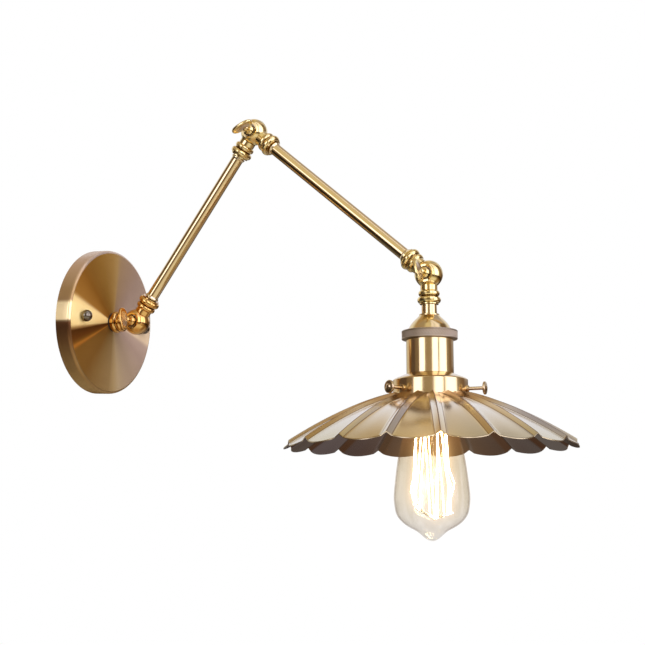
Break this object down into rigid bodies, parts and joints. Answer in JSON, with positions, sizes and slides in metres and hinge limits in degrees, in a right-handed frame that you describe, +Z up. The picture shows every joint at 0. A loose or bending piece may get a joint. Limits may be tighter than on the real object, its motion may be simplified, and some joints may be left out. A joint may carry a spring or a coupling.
{
  "type": "swing arm wall lamp",
  "caption": "Adjustable swing arm wall lamp in antique brass: round canopy, jointed tube arms on thumb-screw knuckles, and a scalloped petal shade over a visible bulb.",
  "frame": {"origin": "centre of the canopy's back face, on the wall", "axes": "+Y into the wall, so the lamp reaches out along -Y; +Z up; +X along the wall, parallel to the hinge pins"},
  "size_m": [0.2496, 0.4728, 0.3763],
  "materials": {
    "canopy_brass": "spun satin antique brass",
    "polished_brass": "polished golden brass",
    "tube_brass": "polished brass tube",
    "holder_brass": "satin brass, turned",
    "knurled_brass": "knurled antique brass",
    "shade_brass": "satin antique brass, darker inside",
    "screw_brass": "turned brass screws and nuts",
    "contact_brass": "bare brass contacts",
    "zinc_steel": "zinc plated steel",
    "fibre": "black fibre washer",
    "wire_insulation": "insulated wire",
    "terminal_plastic": "moulded terminal block",
    "porcelain": "glazed white porcelain",
    "bulb_glass": "clear glass with a light amber tint",
    "stem_glass": "clear stem glass",
    "bulb_cap_metal": "rolled thread cap",
    "black_glass": "black base insulator",
    "solder": "tinned tip contact",
    "support_wire": "fine support wire",
    "filament": "glowing filament"
  },
  "bodies": {
    "wall_plate": {"canopy": "canopy_brass", "mounting_crossbar": "zinc_steel", "canopy_screws": "screw_brass", "terminal_block": "terminal_plastic", "terminal_screws": "zinc_steel", "ground_screw": "screw_brass", "wall_wires": "wire_insulation"},
    "swivel": {"wall_knuckle": "polished_brass", "wall_nipple": "screw_brass", "wall_locknut": "screw_brass", "wall_lock_washer": "zinc_steel", "canopy_washer": "fibre", "wall_friction_washer": "fibre", "swivel_wires": "wire_insulation"},
    "arm_1": {"arm_1_lower_knuckle": "polished_brass", "arm_1_tube": "tube_brass", "arm_1_collars": "tube_brass", "arm_1_upper_knuckle": "polished_brass", "elbow_friction_washer": "fibre", "arm_1_wires": "wire_insulation"},
    "arm_2": {"arm_2_upper_knuckle": "polished_brass", "arm_2_tube": "tube_brass", "arm_2_collars": "tube_brass", "arm_2_lower_knuckle": "polished_brass", "head_friction_washer": "fibre", "arm_2_wires": "wire_insulation"},
    "head": {"head_knuckle": "polished_brass", "head_nipple": "screw_brass", "head_spacer": "tube_brass", "lampholder_cap": "holder_brass", "cap_locknut": "screw_brass", "knurled_ring": "knurled_brass", "lampholder_barrel": "holder_brass", "socket_insulator": "porcelain", "socket_shell": "contact_brass", "centre_contact": "contact_brass", "socket_terminals": "contact_brass", "fitter_ring": "holder_brass", "fitter_clamp_ring": "contact_brass", "shade": "shade_brass", "head_wires": "wire_insulation"},
    "wall_screw": {"wall_thumb_screw": "polished_brass", "wall_screw_washer": "zinc_steel"},
    "elbow_screw": {"elbow_thumb_screw": "polished_brass", "elbow_screw_washer": "zinc_steel"},
    "head_screw": {"head_thumb_screw": "polished_brass", "head_screw_washer": "zinc_steel"},
    "front_fitter_screw": {"fitter_screw_front": "screw_brass"},
    "left_fitter_screw": {"fitter_screw_left": "screw_brass"},
    "right_fitter_screw": {"fitter_screw_right": "screw_brass"},
    "bulb_base": {"bulb_tip_contact": "solder", "bulb_base_insulator": "black_glass"},
    "bulb": {"bulb_cap": "bulb_cap_metal", "bulb_glass": "bulb_glass", "bulb_stem_glass": "stem_glass", "bulb_supports": "support_wire", "bulb_filament": "filament"}
  },
  "joints": [
    {"name": "canopy_swivel", "type": "hinge", "parent": "wall_plate", "child": "swivel", "pos_m": [0, -0.0435, 0], "axis": [0, -1, 0], "range_deg": [-90, 90]},
    {"name": "wall_hinge", "type": "hinge", "parent": "swivel", "child": "arm_1", "pos_m": [0, -0.0435, 0], "axis": [1, 0, 0], "range_deg": [-30, 70]},
    {"name": "elbow_hinge", "type": "hinge", "parent": "arm_1", "child": "arm_2", "pos_m": [0, -0.16032, 0.17451], "axis": [1, 0, 0], "range_deg": [-90, 15]},
    {"name": "head_hinge", "type": "hinge", "parent": "arm_2", "child": "head", "pos_m": [0, -0.34026, 0.03694], "axis": [1, 0, 0], "range_deg": [-60, 50]},
    {"name": "wall_thumb_screw_turn", "type": "hinge", "parent": "swivel", "child": "wall_screw", "pos_m": [0, -0.0435, 0], "axis": [-1, 0, 0], "range_deg": [-90, 180]},
    {"name": "elbow_thumb_screw_turn", "type": "hinge", "parent": "arm_1", "child": "elbow_screw", "pos_m": [0, -0.16032, 0.17451], "axis": [-1, 0, 0], "range_deg": [-90, 180]},
    {"name": "head_thumb_screw_turn", "type": "hinge", "parent": "arm_2", "child": "head_screw", "pos_m": [0, -0.34026, 0.03694], "axis": [-1, 0, 0], "range_deg": [-90, 180]},
    {"name": "front_fitter_screw_travel", "type": "slide", "parent": "head", "child": "front_fitter_screw", "axis": [0.1219, -0.991, 0.0554], "range_m": [0, 0.004]},
    {"name": "left_fitter_screw_travel", "type": "slide", "parent": "head", "child": "left_fitter_screw", "axis": [-0.9205, 0.3901, -0.0218], "range_m": [0, 0.004]},
    {"name": "right_fitter_screw_travel", "type": "slide", "parent": "head", "child": "right_fitter_screw", "axis": [0.7986, 0.6009, -0.0336], "range_m": [0, 0.004]},
    {"name": "bulb_travel", "type": "slide", "parent": "head", "child": "bulb_base", "axis": [0, -0.0558, -0.9984], "range_m": [0, 0.009]},
    {"name": "bulb_turn", "type": "hinge", "parent": "bulb_base", "child": "bulb", "pos_m": [0, -0.34584, -0.06291], "axis": [0, -0.0558, -0.9984], "range_deg": [0, 900]}
  ],
  "couplings": [
    {"joint": "bulb_travel", "follows": "bulb_turn", "m_per_rad": 0.00057296}
  ]
}
